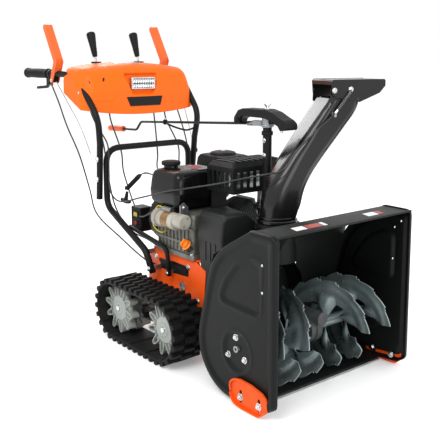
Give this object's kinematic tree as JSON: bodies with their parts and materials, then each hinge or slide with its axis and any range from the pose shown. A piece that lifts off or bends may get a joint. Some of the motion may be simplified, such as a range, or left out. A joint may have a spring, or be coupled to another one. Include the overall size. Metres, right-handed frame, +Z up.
{
  "type": "snow blower",
  "caption": "Walk-behind two stage snow thrower on rubber tracks: auger housing with ribbon augers, turning chute, engine, console and handlebars",
  "frame": {"origin": "middle of the outline on the ground, under the machine", "axes": "+Z up, +Y from the auger housing back towards the operator, +X to the left of an operator who stands behind the machine"},
  "size_m": [0.7478, 1.635, 1.167],
  "materials": {
    "auger_housing": "satin",
    "housing_side_right": "satin",
    "housing_side_left": "satin",
    "scraper_bar": "worn",
    "impeller_drum": "satin",
    "chute_post": "gloss",
    "chute_head": "matte",
    "frame_plate_right": "gloss",
    "frame_plate_left": "gloss",
    "frame_deck": "gloss",
    "belt_cover": "matte",
    "engine_crankcase": "cast",
    "engine_cylinder": "cast",
    "fuel_tank": "gloss",
    "muffler_guard": "satin",
    "air_box": "matte",
    "recoil_housing": "satin",
    "electric_starter": "gloss",
    "switch_box": "matte",
    "track_frames": "satin",
    "track_belt_right": "matte",
    "track_belt_left": "matte",
    "handle_lower": "satin",
    "handle_upper": "satin",
    "dash_shell": "gloss",
    "headlight": "polished",
    "dash_plate": "satin",
    "grips": "matte",
    "control_cables": "matte",
    "deflector_cable": "matte",
    "fasteners": "zinc plated",
    "auger_gearbox": "cast",
    "drive_belt": "matte",
    "auger_shaft": "worn",
    "auger_flight_right": "worn",
    "auger_flight_left": "worn",
    "impeller": "satin",
    "auger_pulley": "cast",
    "crankshaft": "machined",
    "chute_ring": "matte",
    "chute_shell": "gloss",
    "chute_pinion": "machined",
    "deflector": "gloss",
    "chute_crank": "satin",
    "clutch_paddle_right": "gloss",
    "clutch_paddle_left": "gloss",
    "steering_trigger_right": "matte",
    "steering_trigger_left": "matte",
    "speed_lever": "matte",
    "deflector_lever": "matte",
    "wheel_front_right": "satin",
    "wheel_front_left": "satin",
    "wheel_rear_right": "satin",
    "wheel_rear_left": "satin",
    "skid_shoe_right": "gloss",
    "skid_shoe_left": "gloss",
    "fuel_cap": "matte",
    "oil_cap": "gloss",
    "recoil_handle": "matte",
    "friction_wheel": "machined"
  },
  "bodies": {
    "chassis": {"auger_housing": "auger_housing", "housing_side_right": "housing_side_right", "housing_side_left": "housing_side_left", "scraper_bar": "scraper_bar", "impeller_drum": "impeller_drum", "chute_post": "chute_post", "chute_head": "chute_head", "frame_plate_right": "frame_plate_right", "frame_plate_left": "frame_plate_left", "frame_deck": "frame_deck", "belt_cover": "belt_cover", "engine_crankcase": "engine_crankcase", "engine_cylinder": "engine_cylinder", "fuel_tank": "fuel_tank", "muffler_guard": "muffler_guard", "air_box": "air_box", "recoil_housing": "recoil_housing", "electric_starter": "electric_starter", "switch_box": "switch_box", "track_frames": "track_frames", "track_belt_right": "track_belt_right", "track_belt_left": "track_belt_left", "handle_lower": "handle_lower", "handle_upper": "handle_upper", "dash_shell": "dash_shell", "headlight": "headlight", "dash_plate": "dash_plate", "grips": "grips", "control_cables": "control_cables", "deflector_cable": "deflector_cable", "fasteners": "fasteners", "auger_gearbox": "auger_gearbox", "drive_belt": "drive_belt"},
    "auger": {"auger_shaft": "auger_shaft", "auger_flight_right": "auger_flight_right", "auger_flight_left": "auger_flight_left"},
    "impeller": {"impeller": "impeller", "auger_pulley": "auger_pulley"},
    "crank": {"crankshaft": "crankshaft"},
    "friction_drive": {"friction_wheel": "friction_wheel"},
    "chute": {"chute_ring": "chute_ring", "chute_shell": "chute_shell"},
    "chute_pinion": {"chute_pinion": "chute_pinion"},
    "chute_crank": {"chute_crank": "chute_crank"},
    "deflector": {"deflector": "deflector"},
    "deflector_lever": {"deflector_lever": "deflector_lever"},
    "speed_lever": {"speed_lever": "speed_lever"},
    "paddle_right": {"clutch_paddle_right": "clutch_paddle_right"},
    "paddle_left": {"clutch_paddle_left": "clutch_paddle_left"},
    "trigger_right": {"steering_trigger_right": "steering_trigger_right"},
    "trigger_left": {"steering_trigger_left": "steering_trigger_left"},
    "wheel_front_right": {"wheel_front_right": "wheel_front_right"},
    "wheel_front_left": {"wheel_front_left": "wheel_front_left"},
    "wheel_rear_right": {"wheel_rear_right": "wheel_rear_right"},
    "wheel_rear_left": {"wheel_rear_left": "wheel_rear_left"},
    "skid_right": {"skid_shoe_right": "skid_shoe_right"},
    "skid_left": {"skid_shoe_left": "skid_shoe_left"},
    "fuel_cap": {"fuel_cap": "fuel_cap"},
    "oil_cap": {"oil_cap": "oil_cap"},
    "recoil_handle": {"recoil_handle": "recoil_handle"}
  },
  "joints": [
    {"name": "auger_spin", "type": "hinge", "parent": "chassis", "child": "auger", "pos_m": [-0.03787, -0.6445, 0.17], "axis": [1, 0, 0], "continuous": true},
    {"name": "impeller_spin", "type": "hinge", "parent": "chassis", "child": "impeller", "pos_m": [-0.03787, -0.3745, 0.215], "axis": [0, 1, 0], "continuous": true},
    {"name": "crankshaft_spin", "type": "hinge", "parent": "chassis", "child": "crank", "pos_m": [-0.11287, -0.2145, 0.44], "axis": [0, 1, 0], "continuous": true},
    {"name": "friction_drive_spin", "type": "hinge", "parent": "chassis", "child": "friction_drive", "pos_m": [-0.03787, -0.1805, 0.223], "axis": [1, 0, 0], "continuous": true},
    {"name": "chute_turn", "type": "hinge", "parent": "chassis", "child": "chute", "pos_m": [-0.00987, -0.4695, 0.468], "axis": [0, 0, 1], "range_deg": [-185, 5], "deforming": ["deflector_cable"]},
    {"name": "pinion_turn", "type": "hinge", "parent": "chassis", "child": "chute_pinion", "pos_m": [0.02262, -0.38023, 0.468], "axis": [0, 0, 1], "range_deg": [-25, 700]},
    {"name": "crank_turn", "type": "hinge", "parent": "chassis", "child": "chute_crank", "pos_m": [0.02262, -0.3445, 0.808], "axis": [0.0478, 0.9966, -0.0666], "range_deg": [-700, 25]},
    {"name": "deflector_tilt", "type": "hinge", "parent": "chute", "child": "deflector", "pos_m": [0.16013, -0.51505, 0.927], "axis": [0.2588, 0.9659, 0], "range_deg": [0, 34]},
    {"name": "deflector_lever_tilt", "type": "hinge", "parent": "chassis", "child": "deflector_lever", "pos_m": [0.06613, 0.4795, 0.955], "axis": [1, 0, 0], "range_deg": [-16, 2]},
    {"name": "speed_lever_tilt", "type": "hinge", "parent": "chassis", "child": "speed_lever", "pos_m": [-0.14187, 0.4795, 0.955], "axis": [1, 0, 0], "range_deg": [-16, 16]},
    {"name": "clutch_paddle_right_press", "type": "hinge", "parent": "chassis", "child": "paddle_right", "pos_m": [-0.29987, 0.5655, 0.939], "axis": [1, 0, 0], "range_deg": [-60, 0], "stiffness_Nm_per_rad": 4, "springref_deg": 17.19},
    {"name": "steering_trigger_right_press", "type": "hinge", "parent": "chassis", "child": "trigger_right", "pos_m": [-0.29987, 0.6095, 0.926], "axis": [1, 0, 0], "range_deg": [0, 10], "stiffness_Nm_per_rad": 1.5, "springref_deg": -11.46},
    {"name": "clutch_paddle_left_press", "type": "hinge", "parent": "chassis", "child": "paddle_left", "pos_m": [0.22413, 0.5655, 0.939], "axis": [1, 0, 0], "range_deg": [-60, 0], "stiffness_Nm_per_rad": 4, "springref_deg": 17.19},
    {"name": "steering_trigger_left_press", "type": "hinge", "parent": "chassis", "child": "trigger_left", "pos_m": [0.22413, 0.6095, 0.926], "axis": [1, 0, 0], "range_deg": [0, 10], "stiffness_Nm_per_rad": 1.5, "springref_deg": -11.46},
    {"name": "wheel_rear_right_spin", "type": "hinge", "parent": "chassis", "child": "wheel_rear_right", "pos_m": [-0.27787, 0.0305, 0.116], "axis": [1, 0, 0], "continuous": true},
    {"name": "wheel_front_right_spin", "type": "hinge", "parent": "chassis", "child": "wheel_front_right", "pos_m": [-0.27787, -0.2595, 0.116], "axis": [1, 0, 0], "continuous": true},
    {"name": "wheel_rear_left_spin", "type": "hinge", "parent": "chassis", "child": "wheel_rear_left", "pos_m": [0.20213, 0.0305, 0.116], "axis": [1, 0, 0], "continuous": true},
    {"name": "wheel_front_left_spin", "type": "hinge", "parent": "chassis", "child": "wheel_front_left", "pos_m": [0.20213, -0.2595, 0.116], "axis": [1, 0, 0], "continuous": true},
    {"name": "skid_right_height", "type": "slide", "parent": "chassis", "child": "skid_right", "axis": [0, 0, 1], "range_m": [-0.015, 0.012]},
    {"name": "skid_left_height", "type": "slide", "parent": "chassis", "child": "skid_left", "axis": [0, 0, 1], "range_m": [-0.015, 0.012]},
    {"name": "fuel_cap_turn", "type": "hinge", "parent": "chassis", "child": "fuel_cap", "pos_m": [-0.16787, -0.0725, 0.648], "axis": [0, 0, 1], "range_deg": [0, 90]},
    {"name": "oil_cap_turn", "type": "hinge", "parent": "chassis", "child": "oil_cap", "pos_m": [-0.19787, -0.2295, 0.372], "axis": [-0.766, 0, 0.6428], "range_deg": [0, 360]},
    {"name": "recoil_handle_pull", "type": "slide", "parent": "chassis", "child": "recoil_handle", "axis": [-0.1699, 0.06, -0.9836], "range_m": [0, 0.05], "stiffness_N_per_m": 150, "springref_m": -0.02}
  ],
  "couplings": [
    {"joint": "impeller_spin", "follows": "auger_spin", "ratio": 10},
    {"joint": "pinion_turn", "follows": "chute_turn", "ratio": -3.75},
    {"joint": "crank_turn", "follows": "chute_turn", "ratio": 3.75},
    {"joint": "deflector_lever_tilt", "follows": "deflector_tilt", "ratio": -0.45},
    {"joint": "wheel_front_right_spin", "follows": "wheel_rear_right_spin", "ratio": 1},
    {"joint": "wheel_front_left_spin", "follows": "wheel_rear_left_spin", "ratio": 1}
  ]
}
